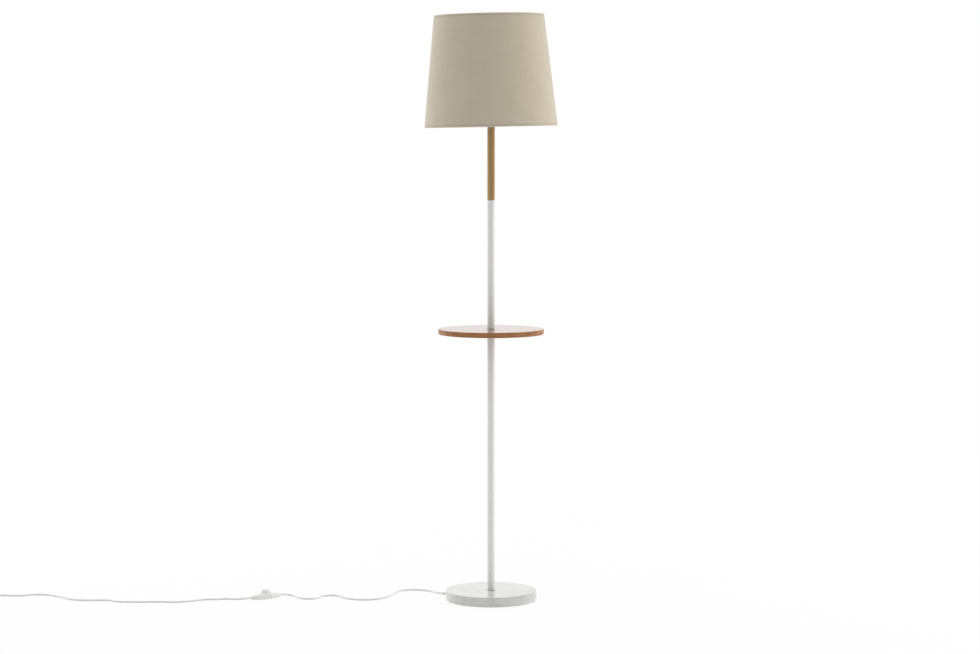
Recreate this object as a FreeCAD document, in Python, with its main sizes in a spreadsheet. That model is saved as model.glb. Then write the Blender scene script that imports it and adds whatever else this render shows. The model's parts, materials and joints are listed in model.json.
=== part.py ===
import FreeCAD, Part
import Sketcher
import math
import os
from FreeCAD import Placement, Rotation, Vector

# Floor lamp with a round table on its pole. Millimetres; +Z is up, +X is to the right and
# +Y is away from whoever faces the lamp. The origin is on the floor under the pole.

PARTS = "parts"

# --- driving dimensions --------------------------------------------------------------------

DRIVING = [
    ("pad_t", 2.0, "felt pad under the slab, thickness"),
    ("pad_d", 22.0, "felt pad, diameter"),
    ("pad_circle_d", 184.0, "circle that the felt pads stand on"),
    ("pad_count", 4, "number of felt pads"),
    ("pad_turn", 13.5, "direction of the first felt pad, degrees from +X"),
    ("slab_d", 242.4, "marble slab, diameter"),
    ("slab_t", 25.4, "marble slab, thickness"),
    ("slab_edge", 3.0, "rounding of the slab's upper edge"),
    ("slab_foot_edge", 1.2, "rounding of the slab's lower edge"),
    ("recess_d", 54.0, "recess under the slab for nut and washer, diameter"),
    ("recess_h", 16.4, "recess under the slab, height"),
    ("exit_angle", 155.0, "direction in which the cord leaves the base, degrees from +X"),
    ("exit_z", 6.2, "height of the cord's centre where it leaves the base"),
    ("bush_d", 8.4, "cord bush in the slab's channel, diameter"),
    ("bush_grip", 14.0, "cord bush, length inside the channel"),
    ("bush_nose", 20.0, "cord bush, length of the tapered nose outside"),
    ("bush_tip_d", 6.4, "cord bush, diameter at the tip of its nose"),
    ("channel_gap", 0.2, "channel round the bush, clearance all round"),
    ("rod_d", 10.0, "threaded rod, diameter"),
    ("rod_bore", 7.0, "bore of the threaded rods"),
    ("thread_gap", 0.1, "clearance between a rod and its female thread"),
    ("hole_gap", 0.3, "clearance between a rod and a plain hole"),
    ("rod_tip", 0.9, "end of the base rod below its nut"),
    ("washer_d", 30.0, "washer under the slab, diameter"),
    ("washer_t", 1.5, "washer under the slab, thickness"),
    ("nut_corner_d", 17.0, "lamp nut, across its corners"),
    ("nut_t", 3.0, "lamp nut, thickness"),
    ("pole_d", 20.0, "steel pole, diameter"),
    ("pole_wall", 1.2, "steel pole, wall"),
    ("insert_len", 16.0, "threaded plug in a tube's end, length"),
    ("insert_gap", 0.05, "clearance of a threaded plug in its tube"),
    ("rod_grip", 13.0, "length of a rod screwed into a plug"),
    ("collar_d", 27.0, "thin collars round the pole, diameter"),
    ("collar_t", 1.2, "thin collars, thickness"),
    ("tray_top", 724.8, "height of the table top above the floor"),
    ("tray_d", 279.4, "table top, diameter"),
    ("tray_t", 13.7, "table top, thickness"),
    ("tray_edge", 2.2, "rounding of the table top's edges"),
    ("oak_low", 1064.3, "height at which the steel ends and the oak begins"),
    ("oak_top", 1267.0, "height of the oak's upper end"),
    ("oak_d", 20.0, "oak length, diameter"),
    ("oak_rod_grip", 25.0, "length of a rod screwed into the oak"),
    ("cap_h", 22.0, "lampholder cap, height"),
    ("cap_foot_d", 24.0, "lampholder cap, diameter at its foot"),
    ("cap_wall", 2.0, "lampholder cap, wall"),
    ("holder_d", 39.4, "lampholder sleeve, diameter"),
    ("holder_h", 38.0, "lampholder sleeve, height"),
    ("holder_wall", 2.0, "lampholder sleeve, wall"),
    ("core_t", 7.0, "insulating core of the lampholder, thickness"),
    ("core_gap", 0.2, "clearance of the core in its sleeve"),
    ("screw_d", 27.0, "lamp screw of the bulb, diameter"),
    ("screw_gap", 0.3, "clearance round the bulb's screw"),
    ("screw_wall", 0.6, "brass screw shell, wall"),
    ("screw_h", 20.0, "brass screw shell, height"),
    ("contact_d", 7.0, "centre contact, diameter"),
    ("contact_h", 1.6, "centre contact, height"),
    ("nut_ring_d", 57.0, "shade rings on the lampholder, diameter"),
    ("nut_ring_t", 6.0, "shade rings, thickness"),
    ("nut_ring_low", 6.0, "lower shade ring above the sleeve's foot"),
    ("fitter_d", 64.0, "steel fitter of the shade, diameter"),
    ("fitter_bore", 42.5, "hole in the fitter"),
    ("fitter_t", 1.5, "fitter, thickness"),
    ("fitter_gap", 0.2, "clearance between the fitter and each shade ring"),
    ("arm_count", 3, "arms of the shade's spider"),
    ("shade_low", 1257.3, "height of the shade's lower rim"),
    ("shade_h", 292.7, "shade, height"),
    ("shade_low_d", 350.4, "shade, outer diameter at its lower rim"),
    ("shade_top_d", 289.2, "shade, outer diameter at its upper rim"),
    ("shade_lean", 1.1, "the shade sits this many degrees out of level, its left side low"),
    ("linen_t", 0.8, "linen of the shade, thickness"),
    ("liner_t", 0.5, "plastic liner behind the linen, thickness"),
    ("liner_gap", 0.2, "glue line between linen and liner"),
    ("liner_end", 8.5, "distance of the liner's ends from the rims"),
    ("wire_d", 2.8, "steel wire of the shade's rings and arms, diameter"),
    ("wire_gap", 0.6, "clearance of a wire ring in the linen's turned hem"),
    ("hem_flap", 0.6, "edge of the turned hem, past the middle of its wire"),
    ("bulb_d", 60.0, "bulb, diameter"),
    ("bulb_h", 80.0, "bulb's glass, height above its screw"),
    ("bulb_screw_h", 25.0, "bulb's screw cap, height"),
    ("bulb_neck_d", 30.0, "bulb's neck above the screw, diameter"),
    ("bulb_shoulder", 25.0, "bulb, where its ball ends, degrees below the ball's middle"),
    ("cord_d", 5.0, "round flex, diameter"),
    ("core_wire_d", 2.2, "one insulated core of the flex, diameter"),
    ("core_reach", 9.0, "bared cores between the flex's end and the lampholder, height"),
    ("inner_bend", 6.6, "bend of the flex in the recess under the slab"),
    ("cord_clear", 0.1, "clearance of the flex in its bush"),
    ("switch_x", -602.5, "foot switch, centre"),
    ("switch_y", 24.0, "foot switch, centre"),
    ("switch_angle", 33.0, "foot switch, its length turned from +X"),
    ("switch_len", 82.0, "foot switch, length"),
    ("switch_w", 34.0, "foot switch, width at the middle"),
    ("switch_end_w", 11.0, "foot switch, width of its ends"),
    ("switch_h", 15.5, "foot switch, height of its cover at the middle"),
    ("switch_end_h", 9.5, "foot switch, height of its cover at the ends"),
    ("switch_split", 5.0, "foot switch, height of the joint between base and cover"),
    ("switch_floor", 2.0, "foot switch, thickness of its floor"),
    ("switch_edge", 2.0, "rounding of the cover's upper edge"),
    ("switch_corner", 2.5, "rounding of the foot switch's upright edges"),
    ("button_d", 24.0, "push button, diameter"),
    ("button_top", 24.5, "push button, height of its top at rest"),
    ("button_wall", 2.0, "push button, wall"),
    ("button_edge", 1.2, "rounding of the button's upper edge"),
    ("button_gap", 0.35, "clearance round the button"),
    ("button_travel", 3.0, "push button, travel"),
    ("button_rest", 0.3, "clearance between the flange and the cover at rest"),
    ("stop_gap", 0.2, "clearance between the flange and its stops at full travel"),
    ("stop_d", 2.6, "stops under the button's flange, diameter"),
    ("stop_off", 12.4, "stops, distance from the button's axis"),
    ("flange_d", 28.0, "flange that holds the button in, diameter"),
    ("flange_t", 2.0, "flange, thickness"),
    ("lip_t", 2.6, "cover above the button's flange, thickness"),
    ("spring_d", 13.0, "button spring, outer diameter"),
    ("spring_wire", 1.2, "button spring, wire"),
    ("spring_turns", 4.5, "button spring, turns"),
    ("strip_len", 5.8, "contact strip, length"),
    ("strip_w", 4.0, "contact strip, width"),
    ("strip_t", 0.8, "contact strip, thickness"),
    ("strip_gap", 1.2, "distance between the strips' inner ends and the spring"),
    ("screw_sunk", 0.4, "switch screw, its head above the bottom of the switch"),
    ("screw_head_d", 5.0, "switch screw, head"),
    ("screw_head_t", 1.4, "switch screw, thickness of its head"),
    ("screw_shank_d", 2.6, "switch screw, shank"),
    ("screw_len", 8.0, "switch screw, length"),
    ("screw_off", 27.0, "switch screw, distance from the middle"),
    ("screw_clear", 0.15, "clearance round the switch screws"),
    ("coil_inner", 25.2, "put-away coil, smallest radius of its turns"),
    ("coil_step", 6.3, "put-away coil, one turn to the next"),
    ("coil_rise", 6.3, "put-away coil, one layer to the next"),
    ("coil_turns", 3.0, "put-away coil, turns in its two layers together"),
    ("coil_x", -1370.0, "put-away coil, where its first turn starts"),
    ("coil_y", 53.0, "put-away coil, where its first turn starts"),
    ("plug_x", -1441.0, "plug, end of its nose"),
    ("plug_y", 45.0, "plug, end of its nose"),
    ("plug_angle", 190.0, "direction in which the plug points"),
    ("plug_w", 35.3, "plug, width at its face"),
    ("plug_t", 13.7, "plug, thickness at its face"),
    ("plug_waist_w", 26.0, "plug, width where the fingers hold it"),
    ("plug_waist_t", 12.0, "plug, thickness where the fingers hold it"),
    ("plug_tail_w", 9.5, "plug, width at its cord end"),
    ("plug_tail_t", 8.0, "plug, thickness at its cord end"),
    ("plug_waist", 22.0, "plug, from the cord end to the waist"),
    ("plug_len", 37.0, "plug, length without its pins"),
    ("pin_d", 4.0, "plug pin, diameter"),
    ("pin_len", 19.0, "plug pin, length outside the plug"),
    ("pin_root", 6.0, "plug pin, length inside the plug"),
    ("pin_off", 9.3, "plug pin, distance from the plug's middle"),
    ("sleeve_t", 0.45, "insulating sleeve on a pin, wall"),
    ("sleeve_len", 10.0, "insulating sleeve on a pin, length"),
    ("pin_clear", 0.05, "clearance round a pin"),
]

# Sizes that follow from the driving ones, worked out by the sheet.
DERIVED = [
    ("slab_top", "=pad_t + slab_t"),
    ("recess_top", "=pad_t + recess_h"),
    ("hole_d", "=rod_d + 2 * hole_gap"),
    ("thread_d", "=rod_d + 2 * thread_gap"),
    ("washer_low", "=recess_top - washer_t"),
    ("nut_low", "=washer_low - nut_t"),
    ("rod_low", "=nut_low - rod_tip"),
    ("pole_low", "=slab_top + collar_t"),
    ("tray_low", "=tray_top - tray_t"),
    ("pole_top", "=tray_low - collar_t"),
    ("upper_low", "=tray_top + collar_t"),
    ("pole_bore", "=pole_d - 2 * pole_wall"),
    ("insert_d", "=pole_bore - 2 * insert_gap"),
    ("exit_r", "=slab_d / 2 + bush_nose"),
    ("bush_low", "=slab_d / 2 - bush_grip"),
    ("bush_bore", "=cord_d + 2 * cord_clear"),
    ("channel_w", "=bush_d + 2 * channel_gap"),
    ("cap_top", "=oak_top + cap_h"),
    ("holder_top", "=cap_top + holder_h"),
    ("holder_bore", "=holder_d - 2 * holder_wall"),
    ("core_top", "=cap_top + core_t"),
    ("core_d", "=holder_bore - 2 * core_gap"),
    ("shell_bore", "=screw_d + 2 * screw_gap"),
    ("shell_d", "=shell_bore + 2 * screw_wall"),
    ("bulb_low", "=core_top + contact_h + screw_gap"),
    ("glass_low", "=bulb_low + bulb_screw_h"),
    ("ring_bore", "=holder_d + 2 * screw_gap"),
    ("ring_low", "=cap_top + nut_ring_low"),
    ("fitter_low", "=ring_low + nut_ring_t + fitter_gap"),
    ("fitter_top", "=fitter_low + fitter_t"),
    ("upper_ring_low", "=fitter_top + fitter_gap"),
    ("cord_end", "=cap_top - core_reach"),
    ("button_skirt", "=switch_h - lip_t - button_rest - flange_t"),
    ("stop_top", "=button_skirt - button_travel - stop_gap"),
    ("well_top", "=switch_h - lip_t"),
    ("well_d", "=flange_d + 2 * button_gap"),
    ("button_hole_d", "=button_d + 2 * button_gap"),
    ("button_bore", "=button_d - 2 * button_wall"),
    ("button_roof", "=button_top - button_wall"),
    ("switch_side_r", "=((switch_len / 2)^2 + ((switch_w - switch_end_w) / 2)^2) / (switch_w - switch_end_w)"),
    ("switch_crown_r", "=((switch_len / 2)^2 + (switch_h - switch_end_h)^2) / (2 * (switch_h - switch_end_h))"),
    ("plug_z", "=plug_t / 2"),
]

doc = FreeCAD.newDocument("floor_lamp")
sheet = doc.addObject("Spreadsheet::Sheet", "Sizes")
for row, (name, value, note) in enumerate(DRIVING, start=1):
    sheet.set("A%d" % row, note)
    sheet.set("B%d" % row, str(value))
    sheet.setAlias("B%d" % row, name)
for row, (name, formula) in enumerate(DERIVED, start=len(DRIVING) + 1):
    sheet.set("B%d" % row, formula)
    sheet.setAlias("B%d" % row, name)
doc.recompute()


def size(words):
    """Number for a sum of sizes such as "slab_top + collar_t" or "pole_d/2"."""
    total, sign = 0.0, 1.0
    for word in words.split():
        if word in "+-":
            sign = 1.0 if word == "+" else -1.0
            continue
        name, _, part = word.partition("/")
        value = float(name) if name[0].isdigit() else float(sheet.get(name))
        total += sign * value / float(part or 1)
    return total


def tied(words):
    """The same sum as an expression on the sheet."""
    return " ".join(w if w in "+-" or w[0].isdigit() else "Sizes." + w for w in words.split())


# --- shared ways of making a piece ---------------------------------------------------------

pieces = []


def keep(piece, label):
    """A finished piece: its label names its file."""
    piece.Label = label
    pieces.append(piece)
    return piece


def origin_plane(body, role):
    return next(plane for plane in body.Origin.OriginFeatures if plane.Role == role)


def pin_point(sketch, geometry, end, across, along):
    """Ties one sketch point to the sheet by its distances from the sketch's axes."""
    for kind, words in (("DistanceX", across), ("DistanceY", along)):
        if words == "0":
            axis = -2 if kind == "DistanceX" else -1
            sketch.addConstraint(Sketcher.Constraint("PointOnObject", geometry, end, axis))
            continue
        index = sketch.addConstraint(Sketcher.Constraint(kind, -1, 1, geometry, end, size(words)))
        sketch.setExpression("Constraints[%d]" % index, tied(words))


def outline(sketch, corners):
    """Closed outline of straight sides through corners given as words for the sheet."""
    points = [Vector(size(across), size(along), 0) for across, along in corners]
    for index, start in enumerate(points):
        sketch.addGeometry(Part.LineSegment(start, points[(index + 1) % len(points)]), False)
    for index, (across, along) in enumerate(corners):
        last = (index - 1) % len(corners)
        sketch.addConstraint(Sketcher.Constraint("Coincident", last, 2, index, 1))
        pin_point(sketch, index, 1, across, along)


def turned(name, corners):
    """A body turned on the Z axis from a profile of (radius, height) corners."""
    body = doc.addObject("PartDesign::Body", name + "_body")
    sketch = body.newObject("Sketcher::SketchObject", name + "_profile")
    sketch.AttachmentSupport = [(origin_plane(body, "XZ_Plane"), "")]
    sketch.MapMode = "FlatFace"
    outline(sketch, corners)
    turn = body.newObject("PartDesign::Revolution", name + "_turn")
    turn.Profile = sketch
    turn.ReferenceAxis = (sketch, ["V_Axis"])
    turn.Angle = 360
    doc.recompute()
    return body


def circle_edges(shape, radius, height):
    """Names of the round edges with this radius at this height."""
    names = []
    for index, edge in enumerate(shape.Edges, start=1):
        curve = edge.Curve
        if isinstance(curve, Part.Circle) and abs(curve.Radius - radius) < 0.01:
            if abs(curve.Center.z - height) < 0.01:
                names.append("Edge%d" % index)
    return names


def rounded(body, name, places, radius):
    """Rounds the body's circular edges at (radius, height) places."""
    edges = []
    for across, along in places:
        edges += circle_edges(body.Shape, size(across), size(along))
    solid = body.Tip
    fillet = body.newObject("PartDesign::Fillet", name)
    fillet.Base = (solid, edges)
    fillet.setExpression("Radius", tied(radius))
    body.Tip = fillet
    doc.recompute()
    return fillet


def cylinder(name, across, low, high):
    """Upright cylinder on the Z axis between two heights."""
    solid = doc.addObject("Part::Cylinder", name)
    solid.setExpression("Radius", tied(across + "/2"))
    solid.setExpression("Height", "(%s) - (%s)" % (tied(high), tied(low)))
    solid.setExpression("Placement.Base.z", tied(low))
    return solid


def cut(name, base, tool):
    result = doc.addObject("Part::Cut", name)
    result.Base = base
    result.Tool = tool
    return result


def ring(name, outer, bore, low, high):
    """A tube, washer or bored rod between two heights."""
    return cut(name + "_ring", cylinder(name + "_outer", outer, low, high),
               cylinder(name + "_bore", bore, low, high))


def group(name, members):
    """Several separate solids in one node."""
    result = doc.addObject("Part::Compound", name + "_set")
    result.Links = members
    return result


def made(name, shape):
    """A piece whose shape no ready feature gives."""
    feature = doc.addObject("Part::Feature", name + "_shape")
    feature.Shape = shape
    return feature


# --- tubes that follow a route -------------------------------------------------------------

def arc_leaving(start, heading, end):
    """The arc that leaves start along heading and ends at end."""
    chord = end - start
    along = Vector(chord).normalize()
    lean = heading - along * heading.dot(along)
    if lean.Length < 1e-7:
        return Part.LineSegment(start, end).toShape()
    half = math.acos(max(-1.0, min(1.0, heading.dot(along))))
    bulge = Vector(lean).normalize() * (chord.Length / 2 * math.tan(half / 2))
    return Part.Arc(start, (start + end) / 2 + bulge, end).toShape()


def biarc(start, heading, end, arrival):
    """Two arcs that leave start along heading and reach end along arrival."""
    span = end - start
    both = heading + arrival
    slack = 2 * (1 - heading.dot(arrival))
    reach = (math.sqrt(span.dot(both) ** 2 + slack * span.dot(span)) - span.dot(both)) / slack
    middle = (start + end + (heading - arrival) * reach) / 2
    back = arc_leaving(end, arrival * -1, middle)
    return [arc_leaving(start, heading, middle), back]


def swept(edges, across):
    """A round tube along edges that join smoothly."""
    path = Part.Wire(Part.sortEdges(edges)[0])
    start = path.OrderedVertexes[0].Point
    first = path.OrderedEdges[0]
    at = first.FirstParameter
    if (first.valueAt(at) - start).Length > 1e-6:
        at = first.LastParameter
    circle = Part.Circle(start, first.tangentAt(at), across / 2)
    tube = path.makePipeShell([Part.Wire(circle.toShape())], True, False)
    expected = math.pi * across ** 2 / 4 * path.Length
    print("  tube %.0f mm long, volume %.4f of section x length"
          % (path.Length, tube.Volume / expected))
    return tube


def rounded_route(points):
    """Straight runs joined by tangent arcs, each as large as its two runs allow."""
    share = 0.45
    edges, radii = [], []
    leave = points[0]
    for before, corner, after in zip(points, points[1:], points[2:]):
        back, ahead = before - corner, after - corner
        shorter = min(back.Length, ahead.Length)
        back.normalize()
        ahead.normalize()
        turn = math.pi - back.getAngle(ahead)
        radius = share * shorter / math.tan(turn / 2)
        radii.append(radius)
        enter = corner + back * (share * shorter)
        exit_point = corner + ahead * (share * shorter)
        inward = Vector(back + ahead).normalize()
        middle = corner + inward * (radius / math.cos(turn / 2) - radius)
        edges.append(Part.LineSegment(leave, enter).toShape())
        edges.append(Part.Arc(enter, middle, exit_point).toShape())
        leave = exit_point
    edges.append(Part.LineSegment(leave, points[-1]).toShape())
    print("  radii", " ".join("%.0f" % radius for radius in radii))
    return edges


def winding(place, turns, end_heading=None):
    """Biarcs of a quarter turn along place(turn); end_heading is that of both ends."""
    count = round(turns * 4)
    near = 0.002
    stations = []
    for step in range(count + 1):
        turn = turns * step / count
        heading = (place(turn + near) - place(turn - near)).normalize()
        if end_heading and step in (0, count):
            heading = end_heading
        stations.append((place(turn), heading))
    edges = []
    for (start, heading), (end, arrival) in zip(stations, stations[1:]):
        edges += biarc(start, heading, end, arrival)
    return edges


def least_gap(place, turns, across):
    """Smallest gap of a winding to its own other turns, measured on points."""
    per_turn = 48
    points = [place(step / per_turn) for step in range(int(turns * per_turn) + 1)]
    gap = min((points[i] - points[j]).Length
              for i in range(len(points)) for j in range(i + per_turn // 2, len(points)))
    return gap - across


# --- base ----------------------------------------------------------------------------------

def felt_pads():
    pads = []
    for index in range(int(size("pad_count"))):
        pad = cylinder("felt_pad_%d" % index, "pad_d", "0", "pad_t")
        turn = "(Sizes.pad_turn + %d * 360 / Sizes.pad_count)" % index
        pad.setExpression("Placement.Base.x", "Sizes.pad_circle_d / 2 * cos(%s * 1 deg)" % turn)
        pad.setExpression("Placement.Base.y", "Sizes.pad_circle_d / 2 * sin(%s * 1 deg)" % turn)
        pads.append(pad)
    keep(group("felt_pads", pads), "base_pads")


def marble_slab():
    """Disc with a recess and a channel for the cord in its underside."""
    body = turned("slab", [("hole_d/2", "recess_top"), ("hole_d/2", "slab_top"),
                           ("slab_d/2", "slab_top"), ("slab_d/2", "pad_t"),
                           ("recess_d/2", "pad_t"), ("recess_d/2", "recess_top")])
    rounded(body, "slab_upper_edge", [("slab_d/2", "slab_top")], "slab_edge")
    rounded(body, "slab_lower_edge", [("slab_d/2", "pad_t")], "slab_foot_edge")
    slot = doc.addObject("Part::Box", "channel_slot")
    slot.setExpression("Length", "Sizes.slab_d")
    slot.setExpression("Width", "Sizes.channel_w")
    slot.setExpression("Height", "Sizes.exit_z")
    slot.setExpression("Placement.Base.y", "-Sizes.channel_w / 2")
    crown = cylinder("channel_crown", "channel_w", "0", "slab_d")
    crown.Placement.Rotation = Rotation(Vector(0, 1, 0), 90)
    crown.setExpression("Placement.Base.z", tied("exit_z"))
    channel = doc.addObject("Part::Fuse", "cord_channel")
    channel.Base = slot
    channel.Tool = crown
    channel.Placement.Rotation = Rotation(Vector(0, 0, 1), size("exit_angle"))
    keep(cut("slab_cut", body, channel), "base_slab")


def base_fastening():
    keep(ring("washer", "washer_d", "hole_d", "washer_low", "recess_top"), "base_washer")
    prism = doc.addObject("Part::Prism", "base_nut_prism")
    prism.Polygon = 6
    prism.setExpression("Circumradius", tied("nut_corner_d/2"))
    prism.setExpression("Height", tied("nut_t"))
    prism.setExpression("Placement.Base.z", tied("nut_low"))
    keep(cut("base_nut_cut", prism, cylinder("nut_thread", "thread_d", "nut_low", "washer_low")),
         "base_nut")
    keep(ring("base_rod", "rod_d", "rod_bore", "rod_low", "pole_low + rod_grip"), "base_rod")
    keep(ring("base_collar", "collar_d", "hole_d", "slab_top", "pole_low"), "base_collar")


def cord_bush():
    """Rubber bush that grips the cord in the slab's channel; its nose tapers outside."""
    body = turned("bush", [("bush_bore/2", "bush_low"), ("bush_d/2", "bush_low"),
                           ("bush_d/2", "slab_d/2"), ("bush_tip_d/2", "exit_r"),
                           ("bush_bore/2", "exit_r")])
    lay = Rotation(Vector(0, 0, 1), size("exit_angle")) * Rotation(Vector(0, 1, 0), 90)
    body.Placement = Placement(Vector(0, 0, size("exit_z")), lay)
    keep(body, "cord_bush")


# --- pole and table ------------------------------------------------------------------------

def insert(name, label, low, high):
    """Threaded plug pressed into the end of a tube."""
    keep(ring(name, "insert_d", "thread_d", low, high), label)


def pole():
    keep(ring("lower_tube", "pole_d", "pole_bore", "pole_low", "pole_top"), "pole_lower_tube")
    keep(ring("upper_tube", "pole_d", "pole_bore", "upper_low", "oak_low"), "pole_upper_tube")
    insert("insert_1", "lower_tube_foot_insert", "pole_low", "pole_low + insert_len")
    insert("insert_2", "lower_tube_top_insert", "pole_top - insert_len", "pole_top")
    insert("insert_3", "upper_tube_foot_insert", "upper_low", "upper_low + insert_len")
    insert("insert_4", "upper_tube_top_insert", "oak_low - insert_len", "oak_low")
    keep(ring("tray_rod", "rod_d", "rod_bore", "pole_top - rod_grip", "upper_low + rod_grip"),
         "tray_rod")
    keep(ring("oak_rod", "rod_d", "rod_bore", "oak_low - rod_grip", "oak_low + oak_rod_grip"),
         "oak_joint_rod")
    keep(ring("oak", "oak_d", "thread_d", "oak_low", "oak_top"), "oak_pole_section")


def table():
    keep(ring("tray_collar_1", "collar_d", "hole_d", "pole_top", "tray_low"),
         "tray_lower_collar")
    body = turned("tray", [("hole_d/2", "tray_low"), ("hole_d/2", "tray_top"),
                           ("tray_d/2", "tray_top"), ("tray_d/2", "tray_low")])
    rounded(body, "tray_edges", [("tray_d/2", "tray_top"), ("tray_d/2", "tray_low")],
            "tray_edge")
    keep(body, "tray_table")
    keep(ring("tray_collar_2", "collar_d", "hole_d", "tray_top", "upper_low"),
         "tray_upper_collar")


# --- lampholder and bulb -------------------------------------------------------------------

def lampholder():
    keep(ring("holder_rod", "rod_d", "rod_bore", "oak_top - oak_rod_grip", "oak_top + cap_wall"),
         "lampholder_rod")
    cap = turned("holder_cap", [("thread_d/2", "oak_top"), ("cap_foot_d/2", "oak_top"),
                                ("holder_d/2", "oak_top + cap_h/2"), ("holder_d/2", "cap_top"),
                                ("holder_bore/2", "cap_top"), ("holder_bore/2", "oak_top + cap_h/2"),
                                ("cap_foot_d/2 - cap_wall", "oak_top + cap_wall"),
                                ("thread_d/2", "oak_top + cap_wall")])
    keep(cap, "lampholder_cap")
    keep(ring("sleeve", "holder_d", "holder_bore", "cap_top", "holder_top"), "lampholder_sleeve")
    keep(cylinder("core", "core_d", "cap_top", "core_top"), "lampholder_core")
    keep(ring("screw_shell", "shell_d", "shell_bore", "core_top", "core_top + screw_h"),
         "lampholder_screw_shell")
    keep(cylinder("contact", "contact_d", "core_top", "core_top + contact_h"),
         "lampholder_contact")
    keep(ring("lower_ring", "nut_ring_d", "ring_bore", "ring_low", "ring_low + nut_ring_t"),
         "shade_ring_lower")
    keep(ring("upper_ring", "nut_ring_d", "ring_bore", "upper_ring_low",
              "upper_ring_low + nut_ring_t"), "shade_ring_upper")


def bulb():
    """Screw cap with its contact button, and a pear-shaped opal glass."""
    cap = turned("bulb_cap", [("0", "bulb_low"), ("contact_d/2", "bulb_low"),
                              ("screw_d/2", "bulb_low + contact_h"),
                              ("screw_d/2", "glass_low"), ("0", "glass_low")])
    keep(cap, "bulb_cap")
    radius = size("bulb_d/2")
    neck = size("bulb_neck_d/2")
    low = size("glass_low")
    middle = low + size("bulb_h") - radius
    droop = math.radians(size("bulb_shoulder"))

    def on_ball(angle):
        return Vector(radius * math.cos(angle), 0, middle + radius * math.sin(angle))

    flare, shoulder, tip = Vector(neck, 0, low), on_ball(-droop), Vector(0, 0, middle + radius)
    leave = Vector(-math.sin(droop), 0, -math.cos(droop))
    side = arc_leaving(shoulder, leave, flare)
    dome = Part.Arc(shoulder, on_ball((math.pi / 2 - droop) / 2), tip).toShape()
    foot = Part.LineSegment(flare, Vector(0, 0, low)).toShape()
    axis = Part.LineSegment(Vector(0, 0, low), tip).toShape()
    face = Part.Face(Part.Wire(Part.sortEdges([foot, side, dome, axis])[0]))
    keep(made("bulb_glass", face.revolve(Vector(), Vector(0, 0, 1), 360)), "bulb_glass")


# --- shade ---------------------------------------------------------------------------------

def shade_place():
    """The shade stands on its lower rim and leans as one piece about the +Y direction."""
    return Placement(Vector(0, 0, size("shade_low")),
                     Rotation(Vector(0, 1, 0), -size("shade_lean")))


def shade_radius(height):
    """Outer radius of the linen at a height above the lower rim."""
    low, top = size("shade_low_d/2"), size("shade_top_d/2")
    return low + (top - low) * height / size("shade_h")


def wire_center(upper):
    """Radius and height of a rim wire's centre inside its hem."""
    hem = size("linen_t + wire_gap + wire_d/2")
    height = size("shade_h") - hem if upper else hem
    return shade_radius(height) - hem, height


def shade_linen():
    """Cone of linen whose edges turn in round the rim wires."""
    linen, height = size("linen_t"), size("shade_h")
    inner = size("wire_d/2 + wire_gap")
    outer = inner + linen
    edges = []
    corner = {}
    for upper in (False, True):
        radius, level = wire_center(upper)
        away = 1 if upper else -1
        center = Vector(radius, 0, level)
        side, rim = Vector(1, 0, 0), Vector(0, 0, away)
        for name, reach in (("outer", outer), ("inner", inner)):
            start, end = center + side * reach, center - side * reach
            edges.append(Part.Arc(start, center + rim * reach, end).toShape())
            corner[name, upper] = (start, end)
        ends = [corner[name, upper][1] for name in ("outer", "inner")]
        tips = [end - rim * size("hem_flap") for end in ends]
        edges += [Part.LineSegment(end, tip).toShape() for end, tip in zip(ends, tips)]
        edges.append(Part.LineSegment(tips[0], tips[1]).toShape())
    for name in ("outer", "inner"):
        edges.append(Part.LineSegment(corner[name, False][0], corner[name, True][0]).toShape())
    face = Part.Face(Part.Wire(Part.sortEdges(edges)[0]))
    linen_cone = made("linen", face.revolve(Vector(), Vector(0, 0, 1), 360))
    linen_cone.Placement = shade_place()
    keep(linen_cone, "shade_linen")


def shade_liner():
    """Smooth plastic cone behind the linen, short of both hems."""
    behind = size("linen_t + liner_gap")
    wall = size("liner_t")
    low, top = size("liner_end"), size("shade_h - liner_end")
    rims = [(shade_radius(low) - behind, low), (shade_radius(top) - behind, top)]
    loop = [Vector(radius, 0, level) for radius, level in rims]
    loop += [Vector(radius - wall, 0, level) for radius, level in reversed(rims)]
    face = Part.Face(Part.makePolygon(loop + loop[:1]))
    liner = made("liner", face.revolve(Vector(), Vector(0, 0, 1), 360))
    liner.Placement = shade_place()
    keep(liner, "shade_liner")


def rim_wires():
    for upper, label in ((False, "shade_bottom_wire"), (True, "shade_top_wire")):
        radius, level = wire_center(upper)
        wire = doc.addObject("Part::Torus", label + "_torus")
        wire.Radius1 = radius
        wire.setExpression("Radius2", tied("wire_d/2"))
        lift = Placement(Vector(0, 0, level), Rotation())
        wire.Placement = shade_place() * lift
        keep(wire, label)


def spider():
    """Steel fitter that the lampholder clamps, with arms welded on to the lower rim wire."""
    fitter = Part.makeCylinder(size("fitter_d/2"), size("fitter_t"),
                               Vector(0, 0, size("fitter_low")))
    fitter = fitter.cut(Part.makeCylinder(size("fitter_bore/2"), size("fitter_t"),
                                          Vector(0, 0, size("fitter_low"))))
    weld = 0.1
    radius, level = wire_center(False)
    on_wire = Vector(radius, 0, level + size("wire_d") + weld)
    start_r = size("nut_ring_d/2 + fitter_d/2") / 2 + size("wire_d") / 4
    solid = fitter
    for index in range(int(size("arm_count"))):
        turn = Rotation(Vector(0, 0, 1), 90 + 360 * index / size("arm_count"))
        outer_end = shade_place().multVec(turn.multVec(on_wire))
        inner_end = turn.multVec(Vector(start_r, 0, size("fitter_low + fitter_t/2")))
        along = outer_end - inner_end
        rod = Part.makeCylinder(size("wire_d/2"), along.Length, inner_end, along)
        solid = solid.fuse(rod)
    keep(made("spider", solid.removeSplitter()), "shade_spider")


# --- cord ----------------------------------------------------------------------------------

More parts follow.
